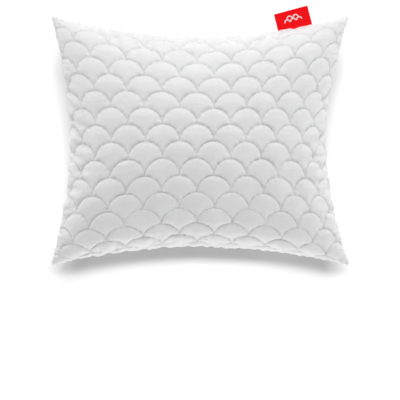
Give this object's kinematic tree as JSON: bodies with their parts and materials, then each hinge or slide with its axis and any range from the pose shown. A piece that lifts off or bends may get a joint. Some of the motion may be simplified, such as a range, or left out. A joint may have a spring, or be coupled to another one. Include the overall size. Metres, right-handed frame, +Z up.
{
  "type": "bed pillow",
  "caption": "Soft rectangular bed pillow with scale-quilted faces, pointed corners, knife-edge seams and a small folded label on one long edge.",
  "frame": {"origin": "middle of the flat patch that the pillow rests on", "axes": "+Z up through the pillow's thickness, +Y towards the long edge with the label, +X along the width towards the label's end"},
  "size_m": [0.58, 0.5049, 0.2146],
  "materials": {
    "face_fabric": "brushed white microfibre with a soft sheen",
    "wadding": "bonded polyester wadding",
    "lining": "white non-woven",
    "fibre": "loose hollow polyester fibre",
    "thread": "white polyester sewing thread",
    "label": "bright red woven ribbon"
  },
  "bodies": {
    "pillow": {"front_face_fabric": "face_fabric", "front_wadding": "wadding", "front_lining": "lining", "front_quilting_thread": "thread", "back_face_fabric": "face_fabric", "back_wadding": "wadding", "back_lining": "lining", "back_quilting_thread": "thread", "fibre_fill": "fibre", "perimeter_seam_thread": "thread", "closing_seam_thread": "thread", "label_tail": "label"},
    "label": {"label_tab": "label"}
  },
  "joints": [
    {"name": "label_flap", "type": "hinge", "parent": "pillow", "child": "label", "pos_m": [0.183, 0.22503, 0.096], "axis": [0.9822, 0.1877, 0], "range_deg": [-90, 90], "stiffness_Nm_per_rad": 0.001}
  ]
}
